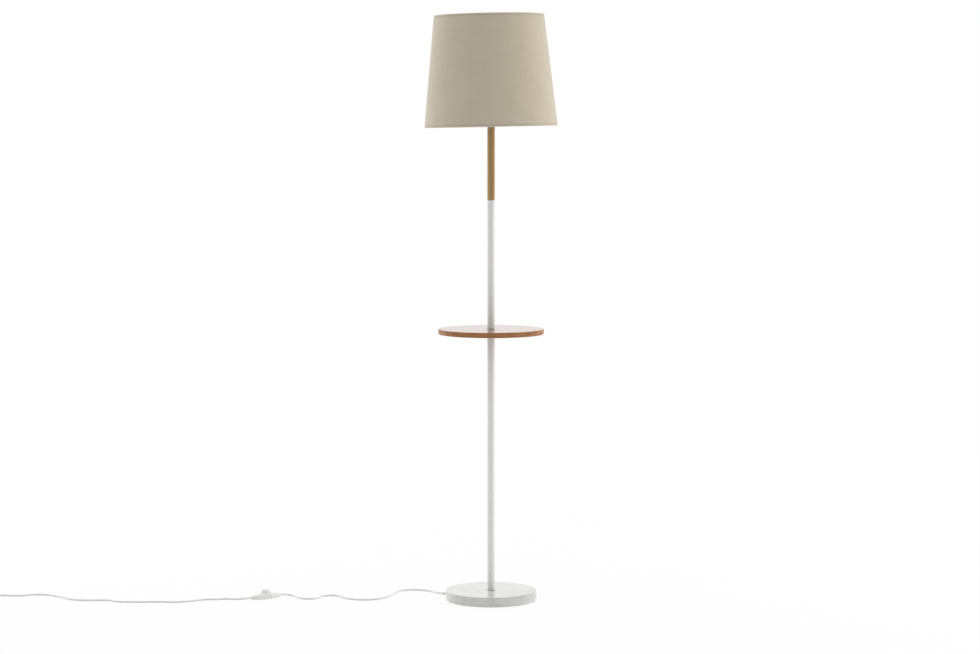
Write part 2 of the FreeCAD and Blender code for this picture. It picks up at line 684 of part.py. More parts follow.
def flat(angle):
    """Level direction at an angle from +X."""
    return Vector(math.cos(math.radians(angle)), math.sin(math.radians(angle)), 0)


def inner_cord():
    """The flex inside the lamp: along the base's channel, up the pole to the lampholder."""
    out = flat(size("exit_angle"))
    bend = size("inner_bend")
    level = size("exit_z")
    start = out * size("exit_r") + Vector(0, 0, level)
    enter = out * bend + Vector(0, 0, level)
    leave = Vector(0, 0, level + bend)
    knee = out * bend + Vector(0, 0, level + bend) - (out + Vector(0, 0, 1)).normalize() * bend
    edges = [Part.LineSegment(start, enter).toShape(),
             Part.Arc(enter, knee, leave).toShape(),
             Part.LineSegment(leave, Vector(0, 0, size("cord_end"))).toShape()]
    keep(made("inner_cord", swept(edges, size("cord_d"))), "cord_inside_pole")
    cores = []
    for side in (-1, 1):
        foot = Vector(side * size("core_wire_d/2 + thread_gap"), 0, size("cord_end"))
        head = Vector(side * size("core_d/2") / 2, 0, size("cap_top"))
        slope = head - foot
        spare = slope / 10
        core = Part.makeCylinder(size("core_wire_d/2"), (slope + spare * 2).Length, foot - spare,
                                 slope)
        room = Part.makeCylinder(size("holder_bore/2"), size("core_reach"),
                                 Vector(0, 0, size("cord_end")))
        cores.append(core.common(room))
    keep(made("cores", Part.makeCompound(cores)), "cord_cores")


# Where the free cord lies on the floor: x and y of the route's corners, from the base to the
# switch and from the switch to the coil. NEAR_SWITCH is the corner at which it starts to rise.
LEAD_ROUTE = [(-158, 110), (-190, 135), (-226, 138), (-252, 116), (-263, 70), (-280, 18),
              (-314, -11), (-358, -13), (-393, 13), (-407, 45), (-429, 54), (-451, 45),
              (-463, 12), (-476.5, 2), (-493.5, 0.5), (-508.5, 8), (-519, 25), (-529.5, 46.5)]
RUN_ROUTE = [(-682, -6), (-706, 3), (-731, -8), (-759, -4), (-787, -26), (-830, -48),
             (-885, -41), (-940, -45), (-990, -43), (-1022, -14), (-1068, -22), (-1118, -13),
             (-1148, 23), (-1184, 58), (-1224, 68), (-1265, 44), (-1320, 53)]
NEAR_SWITCH = (-542, 54.5)
SWITCH_STRAIGHT = 15.0
RUN_STRAIGHT = 20.0
EXIT_STRAIGHT = 22.0
TAIL_STEP = 21.0
SETTLE = 1.2


def on_floor(route):
    return [Vector(x, y, size("cord_d/2")) for x, y in route]


def switch_end(side):
    """Middle of the switch's end face: side 1 is the end nearer to the lamp."""
    center = Vector(size("switch_x"), size("switch_y"), size("switch_split"))
    return center + flat(size("switch_angle")) * (side * size("switch_len/2"))


def coil_place(turn):
    """Two layers of turns: in along the floor, up a layer in half a turn, and out again."""
    layer_turns = (size("coil_turns") - 0.5) / 2
    inner, step = size("coil_inner"), size("coil_step")
    outer = inner + step * layer_turns
    radius = inner + step * max(layer_turns - turn, 0, turn - layer_turns - 0.5)
    climbed = min(max((turn - layer_turns) / 0.5, 0), 1)
    level = size("cord_d/2") + size("coil_rise") * (1 - math.cos(math.pi * climbed)) / 2
    center = Vector(size("coil_x"), size("coil_y") + outer, 0)
    return center + flat(-90 - 360 * turn) * radius + Vector(0, 0, level)


def free_cord():
    diameter = size("cord_d")
    out = flat(size("exit_angle"))
    exit_point = out * size("exit_r") + Vector(0, 0, size("exit_z"))
    axis = flat(size("switch_angle"))
    right, left = switch_end(1), switch_end(-1)
    lead = [exit_point, exit_point + out * EXIT_STRAIGHT] + on_floor(LEAD_ROUTE)
    lead += [Vector(*NEAR_SWITCH, diameter / 2 + SETTLE), right + axis * SWITCH_STRAIGHT, right]
    print("cord_lead")
    keep(made("lead", swept(rounded_route(lead), diameter)), "cord_lead")

    turns = size("coil_turns")
    first, last = coil_place(0), coil_place(turns)
    into = Vector(-1, 0, 0)
    coil_start, coil_end = first - into * diameter, last + into * diameter
    run = [left, left - axis * RUN_STRAIGHT] + on_floor(RUN_ROUTE) + [coil_start]
    print("cord_run")
    keep(made("run", swept(rounded_route(run), diameter)), "cord_run")

    print("cord_coil: least gap %.2f mm" % least_gap(coil_place, turns, diameter))
    edges = [Part.LineSegment(coil_start, first).toShape()]
    edges += winding(coil_place, turns, into)
    edges.append(Part.LineSegment(last, coil_end).toShape())
    keep(made("coil", swept(edges, diameter)), "cord_coil")

    nose = Vector(size("plug_x"), size("plug_y"), size("plug_z"))
    before = nose - flat(size("plug_angle")) * TAIL_STEP
    tail = [coil_end, coil_end + into * TAIL_STEP, before, nose]
    print("cord_tail")
    keep(made("tail", swept(rounded_route(tail), diameter)), "cord_tail")


# --- foot switch ---------------------------------------------------------------------------

def switch_place():
    return Placement(Vector(size("switch_x"), size("switch_y"), 0),
                     Rotation(Vector(0, 0, 1), size("switch_angle")))


def switch_outline(name):
    """Plan of the switch: two bowed sides and two short ends."""
    half, end = size("switch_len/2"), size("switch_end_w/2")
    middle = size("switch_w/2")
    sketch = doc.addObject("Sketcher::SketchObject", name)
    sketch.addGeometry(Part.Arc(Vector(-half, -end, 0), Vector(0, -middle, 0),
                                Vector(half, -end, 0)), False)
    sketch.addGeometry(Part.LineSegment(Vector(half, -end, 0), Vector(half, end, 0)), False)
    sketch.addGeometry(Part.Arc(Vector(half, end, 0), Vector(0, middle, 0),
                                Vector(-half, end, 0)), False)
    sketch.addGeometry(Part.LineSegment(Vector(-half, end, 0), Vector(-half, -end, 0)), False)
    return sketch


def slab_of(name, outline_sketch, low, high):
    """The switch's plan raised between two heights, its upright edges rounded."""
    block = doc.addObject("Part::Extrusion", name)
    block.Base = outline_sketch
    block.DirMode = "Custom"
    block.Dir = Vector(0, 0, 1)
    block.Solid = True
    block.setExpression("LengthFwd", "(%s) - (%s)" % (tied(high), tied(low)))
    block.setExpression("Placement.Base.z", tied(low))
    doc.recompute()
    return softened(name + "_corners", block, "switch_corner",
                    lambda box: box.ZLength > size(high) - size(low) - 0.01)


def softened(name, block, radius, wanted):
    """Rounds the edges whose bounding box is wanted."""
    fillet = doc.addObject("Part::Fillet", name)
    fillet.Base = block
    fillet.Edges = [(index, size(radius), size(radius))
                    for index, edge in enumerate(block.Shape.Edges, start=1)
                    if wanted(edge.BoundBox)]
    return fillet


def switch_screw(name, side, gap):
    """A screw, or with a gap the hole that it sits in."""
    head_r = size("screw_head_d/2") + gap
    shank_r = size("screw_shank_d/2") + gap
    head_low = size("screw_sunk")
    head_t = size("screw_head_t")
    middle = Vector(side * size("screw_off"), 0, head_low)
    if gap:
        head = Part.makeCylinder(head_r, head_low + head_t, Vector(middle.x, 0, 0))
    else:
        head = Part.makeCylinder(head_r, head_t, middle)
    shank = Part.makeCylinder(shank_r, size("screw_len") + gap, middle)
    return head.fuse(shank)


def button_stop(side):
    """Post on the switch's floor that stops the button's flange."""
    post = cylinder("button_stop_%d" % (side + 1), "stop_d", "switch_floor", "stop_top")
    post.setExpression("Placement.Base.y", "%d * Sizes.stop_off" % side)
    return post


def foot_switch():
    plan = switch_outline("switch_plan")
    place = switch_place()
    holes = made("screw_holes", Part.makeCompound(
        [switch_screw("hole", side, size("screw_clear")) for side in (-1, 1)]))

    base = cut("switch_base_1", slab_of("switch_base_block", plan, "0", "switch_split"),
               cylinder("switch_base_well", "well_d", "switch_floor", "switch_split"))
    base = cut("switch_base_2", base, holes)
    stops = doc.addObject("Part::MultiFuse", "switch_base_stops")
    stops.Shapes = [base] + [button_stop(side) for side in (-1, 1)]
    base = stops
    base.Placement = place
    keep(base, "switch_base")

    block = slab_of("switch_cover_block", plan, "switch_split", "switch_h")
    crown = doc.addObject("Part::Cylinder", "switch_crown")
    crown.setExpression("Radius", tied("switch_crown_r"))
    crown.setExpression("Height", "2 * Sizes.switch_w")
    crown.Placement.Rotation = Rotation(Vector(1, 0, 0), 90)
    crown.setExpression("Placement.Base.y", "Sizes.switch_w")
    crown.setExpression("Placement.Base.z", "Sizes.switch_h - Sizes.switch_crown_r")
    domed = doc.addObject("Part::Common", "switch_domed")
    domed.Base = block
    domed.Tool = crown
    doc.recompute()
    rim = softened("switch_rim", domed, "switch_edge",
                   lambda box: box.ZMin > size("switch_end_h") - 0.01)
    hollow = cut("switch_cover_1", rim,
                 cylinder("switch_cover_well", "well_d", "switch_split", "well_top"))
    hollow = cut("switch_cover_2", hollow,
                 cylinder("switch_cover_hole", "button_hole_d", "well_top", "button_top"))
    hollow = cut("switch_cover_3", hollow, holes)
    hollow.Placement = place
    keep(hollow, "switch_cover")

    button = turned("button", [("button_bore/2", "button_skirt"), ("flange_d/2", "button_skirt"),
                               ("flange_d/2", "button_skirt + flange_t"),
                               ("button_d/2", "button_skirt + flange_t"),
                               ("button_d/2", "button_top"), ("0", "button_top"),
                               ("0", "button_roof"), ("button_bore/2", "button_roof")])
    rounded(button, "button_edge_round", [("button_d/2", "button_top")], "button_edge")
    button.Placement = place
    keep(button, "switch_button")

    strips = []
    for side in (-1, 1):
        strip = doc.addObject("Part::Box", "contact_strip_%d" % (side + 1))
        for prop, words in (("Length", "strip_len"), ("Width", "strip_w"), ("Height", "strip_t")):
            strip.setExpression(prop, tied(words))
        reach = size("spring_d/2 + strip_gap")
        away = reach if side > 0 else -reach - size("strip_len")
        strip.Placement.Base = Vector(away, size("strip_w") / -2, size("switch_floor"))
        strips.append(strip)
    contacts = group("contacts", strips)
    contacts.Placement = place
    keep(contacts, "switch_contacts")

    screws = made("screws", Part.makeCompound(
        [switch_screw("screw", side, 0) for side in (-1, 1)]))
    screws.Placement = place
    keep(screws, "switch_screws")
    button_spring()


def button_spring():
    """Coil spring between the switch's floor and the inside of the button."""
    wire = size("spring_wire")
    radius = size("spring_d/2") - wire / 2
    seat = 0.1
    low = size("switch_floor") + wire / 2 + seat
    high = size("button_roof") - wire / 2 - seat
    turns = size("spring_turns")

    def place(turn):
        return flat(360 * turn) * radius + Vector(0, 0, low + (high - low) * turn / turns)

    spring = made("spring", swept(winding(place, turns), wire))
    print("switch_spring: least gap %.2f mm" % least_gap(place, turns, wire))
    spring.Placement = switch_place()
    keep(spring, "switch_spring")


# --- plug ----------------------------------------------------------------------------------

def plug_place():
    """The plug lies flat on the floor; its own Z axis runs from the cord to the pins."""
    lay = Rotation(Vector(0, 0, 1), size("plug_angle")) * Rotation(Vector(0, 1, 0), 90)
    return Placement(Vector(size("plug_x"), size("plug_y"), size("plug_z")), lay)


def stadium(name, width, thickness, level):
    """Section of the plug: two flats joined by half rounds."""
    sketch = doc.addObject("Sketcher::SketchObject", name)
    half = (size(width) - size(thickness)) / 2
    reach = size(thickness) / 2
    left, right = Vector(0, -half, 0), Vector(0, half, 0)
    down, up = Vector(-reach, 0, 0), Vector(reach, 0, 0)
    sketch.addGeometry(Part.LineSegment(left + down, right + down), False)
    sketch.addGeometry(Part.Arc(right + down, right + Vector(0, reach, 0), right + up), False)
    sketch.addGeometry(Part.LineSegment(right + up, left + up), False)
    sketch.addGeometry(Part.Arc(left + up, left - Vector(0, reach, 0), left + down), False)
    sketch.setExpression("Placement.Base.z", tied(level))
    return sketch


def plug():
    loft = doc.addObject("Part::Loft", "plug_loft")
    loft.Sections = [stadium("plug_section_tail", "plug_tail_w", "plug_tail_t", "0"),
                     stadium("plug_section_waist", "plug_waist_w", "plug_waist_t", "plug_waist"),
                     stadium("plug_section_face", "plug_w", "plug_t", "plug_len")]
    loft.Solid = True
    loft.Ruled = False
    sockets, pins, sleeves = [], [], []
    root = size("plug_len - pin_root")
    radius = size("pin_d/2")
    for side in (-1, 1):
        foot = Vector(0, side * size("pin_off"), root)
        face = Vector(0, side * size("pin_off"), size("plug_len"))
        shaft = Part.makeCylinder(radius, size("pin_root + pin_len") - radius, foot)
        pins.append(shaft.fuse(Part.makeSphere(radius, foot + Vector(
            0, 0, size("pin_root + pin_len") - radius))))
        sockets.append(Part.makeCylinder(radius + size("pin_clear"), size("pin_root"), foot))
        sleeve = Part.makeCylinder(radius + size("pin_clear + sleeve_t"), size("sleeve_len"), face)
        sleeves.append(sleeve.cut(Part.makeCylinder(radius + size("pin_clear"),
                                                    size("sleeve_len"), face)))
    body = cut("plug_cut", loft, made("pin_sockets", Part.makeCompound(sockets)))
    for piece, label in ((body, "plug_body"), (made("pins", Part.makeCompound(pins)), "plug_pins"),
                         (made("sleeves", Part.makeCompound(sleeves)), "plug_pin_sleeves")):
        piece.Placement = plug_place()
        keep(piece, label)


# --- build, check and write ----------------------------------------------------------------

felt_pads()
marble_slab()
base_fastening()
cord_bush()
pole()
table()
lampholder()
bulb()
shade_linen()
shade_liner()
rim_wires()
spider()
inner_cord()
foot_switch()
free_cord()
plug()
doc.recompute()

for item in doc.Objects:
    if "Invalid" in item.State or "Error" in item.State:
        raise RuntimeError("%s did not compute: %s" % (item.Name, item.State))
os.makedirs(PARTS, exist_ok=True)
for piece in pieces:
    if piece.Shape.isNull() or not piece.Shape.isValid():
        raise RuntimeError("%s has no valid shape" % piece.Label)
    print("%-26s %2d solids %12.1f mm3" % (piece.Label, len(piece.Shape.Solids), piece.Shape.Volume))
for piece in pieces:
    piece.Shape.exportStep(os.path.join(PARTS, piece.Label + ".step"))
print("%d pieces written" % len(pieces))
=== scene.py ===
import bpy
import json
import math
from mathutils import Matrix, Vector


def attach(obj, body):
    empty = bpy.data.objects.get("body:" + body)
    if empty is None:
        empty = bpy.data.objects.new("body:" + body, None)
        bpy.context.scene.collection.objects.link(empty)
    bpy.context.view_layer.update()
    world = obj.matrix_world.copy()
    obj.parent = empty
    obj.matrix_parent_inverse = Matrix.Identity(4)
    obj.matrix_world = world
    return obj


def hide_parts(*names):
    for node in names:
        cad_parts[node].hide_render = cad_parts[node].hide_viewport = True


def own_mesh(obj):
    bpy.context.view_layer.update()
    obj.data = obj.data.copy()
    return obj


# Floor lamp with a table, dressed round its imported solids. Metres; +Z is up and the camera
# looks along +Y.

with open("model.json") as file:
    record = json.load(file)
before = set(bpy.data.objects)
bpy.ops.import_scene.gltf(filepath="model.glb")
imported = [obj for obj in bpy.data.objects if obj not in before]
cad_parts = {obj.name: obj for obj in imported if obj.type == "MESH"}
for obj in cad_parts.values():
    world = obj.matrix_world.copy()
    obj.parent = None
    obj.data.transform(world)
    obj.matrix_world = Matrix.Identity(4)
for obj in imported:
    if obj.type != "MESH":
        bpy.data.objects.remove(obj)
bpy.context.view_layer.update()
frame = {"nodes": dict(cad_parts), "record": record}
MM = 0.001


# --- camera --------------------------------------------------------------------------------

# The camera that fits the outlines of shade, table and base: its place, how far it looks down
# in radians, and its lens and sensor in millimetres.
EYE, LOOKS_DOWN = (-0.00287, -6.8275, 1.2659), 0.0784
LENS, SENSOR = 95.14, 36


def camera():
    bpy.ops.object.camera_add(location=EYE, rotation=(math.pi / 2 - LOOKS_DOWN, 0, 0))
    eye = bpy.context.object
    eye.data.lens = LENS
    eye.data.sensor_width = SENSOR
    bpy.context.scene.camera = eye


# --- finishes ------------------------------------------------------------------------------

class Reading:
    """A number read over the surface. Sums and products of readings add Math nodes."""

    def __init__(self, finish, socket):
        self.finish, self.socket = finish, socket

    def by(self, operation, *others):
        return self.finish.math(operation, self, *others)

    def __add__(self, other):
        return self.by("ADD", other)

    def __radd__(self, other):
        return self.by("ADD", other)

    def __sub__(self, other):
        return self.by("SUBTRACT", other)

    def __rsub__(self, other):
        return self.finish.math("SUBTRACT", other, self)

    def __mul__(self, other):
        return self.by("MULTIPLY", other)

    def __rmul__(self, other):
        return self.by("MULTIPLY", other)


class Finish:
    """A tree of shader nodes."""

    def __init__(self, tree):
        self.tree = tree
        tree.nodes.clear()

    def add(self, kind, settings=None, sockets=None, output=0):
        """A node with its settings, such as a ramp's stops, and its sockets' values or links."""
        node = self.tree.nodes.new(kind)
        for name, value in (settings or {}).items():
            if name == "stops":
                ramp = node.color_ramp
                while len(ramp.elements) < len(value):
                    ramp.elements.new(1)
                for element, (position, colour) in zip(ramp.elements, value):
                    element.position = position
                    element.color = (*colour, 1)
            else:
                setattr(node, name, value)
        for name, value in (sockets or {}).items():
            if isinstance(value, Reading):
                self.tree.links.new(value.socket, node.inputs[name])
            elif isinstance(value, tuple) and len(value) == 3 and node.inputs[name].type == "RGBA":
                node.inputs[name].default_value = (*value, 1)
            else:
                node.inputs[name].default_value = value
        return Reading(self, node.outputs[output]) if len(node.outputs) else None

    def math(self, operation, *values):
        return self.add("ShaderNodeMath", {"operation": operation}, dict(enumerate(values)))

    def at(self, scale, source="Object"):
        """Coordinates of the surface, scaled along each axis."""
        place = self.add("ShaderNodeTexCoord", output=source)
        return self.add("ShaderNodeMapping", sockets={"Vector": place, "Scale": scale})

    def length(self, vector):
        return self.add("ShaderNodeVectorMath", {"operation": "LENGTH"}, {0: vector}, output=1)

    def noise(self, place, scale=1.0, detail=2.0, roughness=0.5, distortion=0.0):
        return self.add("ShaderNodeTexNoise", sockets={
            "Vector": place, "Scale": scale, "Detail": detail, "Roughness": roughness,
            "Distortion": distortion})

    def between(self, share, first, second):
        """A colour that runs from first to second with share."""
        return self.add("ShaderNodeMix", {"data_type": "RGBA"},
                        {0: share, 6: first, 7: second}, output=2)

    def step(self, value, low, high):
        """0 below low, 1 above high, smooth between them."""
        return self.add("ShaderNodeMapRange", {"interpolation_type": "SMOOTHSTEP"},
                        {0: value, 1: low, 2: high})

    def bump(self, height, depth, strength=1.0):
        return self.add("ShaderNodeBump", sockets={"Height": height, "Distance": depth,
                                                   "Strength": strength})


class Coat(Finish):
    """A material on a Principled shader."""

    def __init__(self, name):
        self.material = bpy.data.materials.new(name)
        self.material.use_nodes = True
        super().__init__(self.material.node_tree)

    def done(self, **sockets):
        shader = self.add("ShaderNodeBsdfPrincipled", sockets={
            name.replace("_", " "): value for name, value in sockets.items()})
        self.add("ShaderNodeOutputMaterial", sockets={"Surface": shader})
        return self.material


def darker(colour, share):
    return tuple(channel * share for channel in colour)


def moulded(name, colour, roughness):
    """Moulded plastic: a fine grain, and a little darker where it was touched."""
    coat = Coat(name)
    touched = coat.noise(coat.at((30, 30, 30)), detail=3)
    grit = coat.noise(coat.at((1800, 1800, 1800)), detail=1)
    tint = coat.between(coat.step(touched, 0.35, 0.75), colour, darker(colour, 0.95))
    return coat.done(Base_Color=tint, Roughness=roughness + 0.1 * touched,
                     Normal=coat.bump(grit, 0.00003, 0.5))


def metal(name, colour, roughness):
    """Turned or plated metal with fine marks round its axis."""
    coat = Coat(name)
    marks = coat.noise(coat.at((40, 40, 2500)), detail=2)
    cloud = coat.noise(coat.at((60, 60, 60)), detail=3)
    tint = coat.between(cloud, colour, darker(colour, 0.85))
    return coat.done(Base_Color=tint, Metallic=1.0, Roughness=roughness + 0.12 * cloud,
                     Normal=coat.bump(marks, 0.00002, 0.6))


def lacquer():
    """White powder coat on the steel tube: semi-gloss, with a faint orange peel."""
    coat = Coat("white_lacquer")
    peel = coat.noise(coat.at((420, 420, 420)), detail=2)
    cloud = coat.noise(coat.at((12, 12, 5)), detail=3)
    tint = coat.between(cloud, (0.76, 0.762, 0.75), (0.73, 0.732, 0.72))
    return coat.done(Base_Color=tint, Roughness=0.27 + 0.08 * cloud,
                     Normal=coat.bump(peel, 0.00006, 0.5))


# A year ring's width in the wood, and the tray's radius.
YEAR_RING = 3.5
TRAY_R = 139.7


def timber(name, light, dark, along, shine, rim=None):
    """Planed wood. along is the axis of the grain: 0 for X, 2 for Z. Its lacquer is thinner on
    the rim of a round board, which has this radius."""
    coat = Coat(name)
    if rim:
        apart = coat.length(coat.at((1, 1, 0)))
        shine = shine * (1 - coat.step(apart, rim - 2.5 * MM, rim - 0.5 * MM) * 0.8)

    def stretched(across, length):
        scale = [across] * 3
        scale[along] = length
        return coat.at(tuple(scale))

    drift = coat.noise(stretched(9, 1.6), detail=3, roughness=0.6)
    rings = coat.noise(stretched(1 / (3 * YEAR_RING * MM), 1.1), detail=3, roughness=0.62,
                       distortion=0.6)
    fibre = coat.noise(stretched(1500, 22), detail=3, roughness=0.7)
    pores = coat.noise(stretched(900, 30), detail=2, roughness=0.6)
    vessel = coat.step(pores, 0.60, 0.70)
    share = coat.step(rings * 0.75 + fibre * 0.25, 0.34, 0.68)
    tint = coat.between(share, light, dark)
    tint = coat.between(coat.step(drift, 0.3, 0.8) * 0.45, tint, darker(dark, 0.78))
    tint = coat.between(vessel * 0.55, tint, darker(dark, 0.45))
    height = fibre * 0.4 - vessel * 0.8
    return coat.done(Base_Color=tint, Roughness=0.45 + 0.12 * fibre,
                     Coat_Weight=shine, Coat_Roughness=0.05, Coat_IOR=1.7,
                     Normal=coat.bump(height, 0.00005, 0.5))


def marble():
    """Polished white stone with faint grey clouds and hairline veins."""
    coat = Coat("white_marble")
    place = coat.at((1, 1, 1))
    cloud = coat.noise(place, 14, detail=5, roughness=0.62, distortion=0.8)
    patch = coat.noise(place, 38, detail=4, roughness=0.6, distortion=0.4)
    vein = coat.noise(place, 7, detail=6, roughness=0.55, distortion=2.2)
    line = 1 - coat.step((vein - 0.5).by("ABSOLUTE"), 0.0, 0.02)
    tint = coat.between(coat.step(cloud, 0.38, 0.72), (0.62, 0.623, 0.60), (0.52, 0.526, 0.51))
    tint = coat.between(coat.step(patch, 0.5, 0.75) * 0.4, tint, (0.50, 0.51, 0.49))
    tint = coat.between(line * coat.step(patch, 0.42, 0.6) * 0.35, tint, (0.38, 0.39, 0.39))
    return coat.done(Base_Color=tint, Roughness=0.12 + 0.06 * cloud, Coat_Weight=0.6,
                     Coat_Roughness=0.04)


YARN_PITCH = 0.75


def linen():
    """Natural linen in plain weave, on a map in metres round and up the shade."""
    coat = Coat("natural_linen")
    pitch = YARN_PITCH * MM
    place = coat.add("ShaderNodeTexCoord", output="UV")
    wander = coat.noise(place, 90, detail=2)
    round_it = coat.add("ShaderNodeSeparateXYZ", sockets={0: place}, output=0)
    up = coat.add("ShaderNodeSeparateXYZ", sockets={0: place}, output=1)
    warp = ((round_it + wander * pitch * 0.8) * (math.pi / pitch)).by("SINE")
    weft = ((up + wander * pitch * 0.8) * (math.pi / pitch)).by("SINE")
    over = warp * weft
    yarn = warp.by("ABSOLUTE") * (0.6 + over * 0.4) + weft.by("ABSOLUTE") * (0.6 - over * 0.4)

    def slub(across, along):
        return coat.noise(coat.at((across, along, 1), "UV"), detail=3, roughness=0.65)

    weft_slub, warp_slub = slub(14, 520), slub(560, 11)
    slubs = coat.step(weft_slub, 0.52, 0.74) * 0.6 + coat.step(warp_slub, 0.54, 0.76) * 0.5
    thin = coat.step(slub(22, 640), 0.50, 0.30)
    cloud = coat.noise(place, 16, detail=3)
    tint = coat.between(cloud, (0.620, 0.545, 0.428), (0.578, 0.505, 0.390))
    tint = coat.between(slubs * 0.65, tint, (0.42, 0.355, 0.26))
    tint = coat.between(thin * 0.4, tint, (0.68, 0.62, 0.52))
    # Painted shade in the weave: the linen is darker between the yarns, where they sink.
    tint = coat.between((1 - yarn * 0.6) * 0.4, tint, (0.35, 0.29, 0.21))
    # Painted shade along each hem's crease: a dark line where the cloth leaves the rim wire.
    rim = SHADE_H / 2 * MM - (up - SHADE_H / 2 * MM).by("ABSOLUTE")
    crease_shade = 1 - coat.step((rim - CREASE * MM).by("ABSOLUTE"), 0.4 * MM, 1.3 * MM)
    tint = coat.between(crease_shade * 0.4, tint, (0.30, 0.26, 0.20))
    height = yarn * 0.7 + slubs * 0.9
    return coat.done(Base_Color=tint, Roughness=0.92, Sheen_Weight=0.35,
                     Normal=coat.bump(height, 0.00025, 0.6))


def flex_skin():
    """White PVC flex: faintly matt, with the drift of its extrusion."""
    coat = Coat("white_flex")
    drift = coat.noise(coat.at((60, 60, 60)), detail=2)
    tint = coat.between(drift, (0.80, 0.80, 0.79), (0.75, 0.75, 0.735))
    return coat.done(Base_Color=tint, Roughness=0.38 + 0.1 * drift)


def felt():
    coat = Coat("grey_felt")
    hair = coat.noise(coat.at((1200, 1200, 1200)), detail=4, roughness=0.7)
    tint = coat.between(hair, (0.30, 0.30, 0.29), (0.42, 0.42, 0.40))
    return coat.done(Base_Color=tint, Roughness=0.95, Normal=coat.bump(hair, 0.0002, 0.8))


def opal():
    """Opal glass of the bulb, white all through."""
    coat = Coat("opal_glass")
    cloud = coat.noise(coat.at((25, 25, 25)), detail=2)
    tint = coat.between(cloud, (0.86, 0.86, 0.84), (0.83, 0.83, 0.81))
    return coat.done(Base_Color=tint, Roughness=0.12 + 0.05 * cloud)


FINISHES = {
    "felt": felt,
    "marble": marble,
    "zinc_steel": lambda: metal("zinc_steel", (0.62, 0.62, 0.61), 0.32),
    "steel_collar": lambda: metal("steel_collar", (0.78, 0.78, 0.765), 0.08),
    "rubber": lambda: moulded("white_rubber", (0.72, 0.72, 0.70), 0.55),
    "white_lacquer": lacquer,
    "oak": lambda: timber("oak", (0.46, 0.287, 0.104), (0.31, 0.176, 0.054), 2, 0.4),
    "tray_wood": lambda: timber("tray_wood", (0.45, 0.188, 0.047), (0.24, 0.082, 0.016), 0, 1.0,
                                TRAY_R * MM),
    "lampholder_plastic": lambda: moulded("lampholder_plastic", (0.78, 0.78, 0.765), 0.35),
    "brass": lambda: metal("brass", (0.78, 0.58, 0.26), 0.28),
    "bulb_metal": lambda: metal("nickel", (0.72, 0.71, 0.68), 0.22),
    "opal_glass": opal,
    "linen": linen,
    "liner_plastic": lambda: moulded("liner_film", (0.80, 0.79, 0.755), 0.45),
    "white_wire": lambda: moulded("coated_wire", (0.76, 0.76, 0.745), 0.3),
    "cord_pvc": flex_skin,
    "core_pvc": lambda: moulded("core_skin", (0.12, 0.22, 0.45), 0.4),
    "switch_plastic": lambda: moulded("switch_plastic", (0.85, 0.85, 0.84), 0.33),
    "plug_plastic": lambda: moulded("plug_plastic", (0.77, 0.77, 0.76), 0.4),
}
mixed = {}


def wear(piece, slot):
    """Gives a piece the finish of one of the record's material slots."""
    if slot not in mixed:
        mixed[slot] = FINISHES[slot]()
    piece.data.materials.clear()
    piece.data.materials.append(mixed[slot])


def of_lamp(piece, slot, *nodes):
    """A new piece that rides on the lamp, and the nodes that it stands for."""
    wear(piece, slot)
    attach(piece, "lamp")
    if nodes:
        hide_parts(*nodes)
    return piece


# --- cords ---------------------------------------------------------------------------------

# All in millimetres: the flex and its middle when it lies on the floor, the foot switch, the
# place where the flex leaves the base, its routes on the floor, the coil and the plug.
FLEX = 5.0
FLOOR_LINE = FLEX / 2
SWITCH = Vector((-602.5, 24.0, 5.0))
SWITCH_AXIS = Vector((math.cos(math.radians(33)), math.sin(math.radians(33)), 0))
SWITCH_HALF = 41.0
BASE_EXIT = Vector((math.cos(math.radians(155)), math.sin(math.radians(155)), 0))
EXIT_POINT = BASE_EXIT * 141.2 + Vector((0, 0, 6.2))
LEAD_ROUTE = [(-158, 110), (-190, 135), (-226, 138), (-252, 116), (-263, 70), (-280, 18),
              (-314, -11), (-358, -13), (-393, 13), (-407, 45), (-429, 54), (-451, 45),
              (-463, 12), (-476.5, 2), (-493.5, 0.5), (-508.5, 8), (-519, 25), (-529.5, 46.5)]
LEAD_RISE = Vector((-542, 54.5, 3.7))
RUN_ROUTE = [(-682, -6), (-706, 3), (-731, -8), (-759, -4), (-787, -26), (-830, -48),
             (-885, -41), (-940, -45), (-990, -43), (-1022, -14), (-1068, -22), (-1118, -13),
             (-1148, 23), (-1184, 58), (-1224, 68), (-1265, 44), (-1320, 53)]
COIL_X, COIL_Y, COIL_STEP = -1370, 53, 6.3
PLUG_NOSE = Vector((-1441, 45, 6.85))
PLUG_TURN = math.radians(190)
PLUG_AXIS = Vector((math.cos(PLUG_TURN), math.sin(PLUG_TURN), 0))


def on_floor(route):
    return [Vector((x, y, FLOOR_LINE)) for x, y in route]


def coil_points():
    """The put-away coil: in along the floor, up a layer in half a turn, and out again."""
    inner, turns, layer_turns, per_turn = 25.2, 3, 1.25, 12
    outside = 1.035  # a control point lies this much outside the turn that it makes
    center = Vector((COIL_X, COIL_Y + inner + COIL_STEP * layer_turns, 0))
    points = []
    for index in range(turns * per_turn):
        turn = (index + 0.5) / per_turn
        radius = inner + COIL_STEP * max(layer_turns - turn, 0, turn - layer_turns - 0.5)
        climbed = min(max((turn - layer_turns) / 0.5, 0), 1)
        level = FLOOR_LINE + COIL_STEP * (1 - math.cos(math.pi * climbed)) / 2
        angle = math.radians(-90 - 360 * turn)
        points.append(center + outside * radius * Vector((math.cos(angle), math.sin(angle), 0))
                      + Vector((0, 0, level)))
    return points


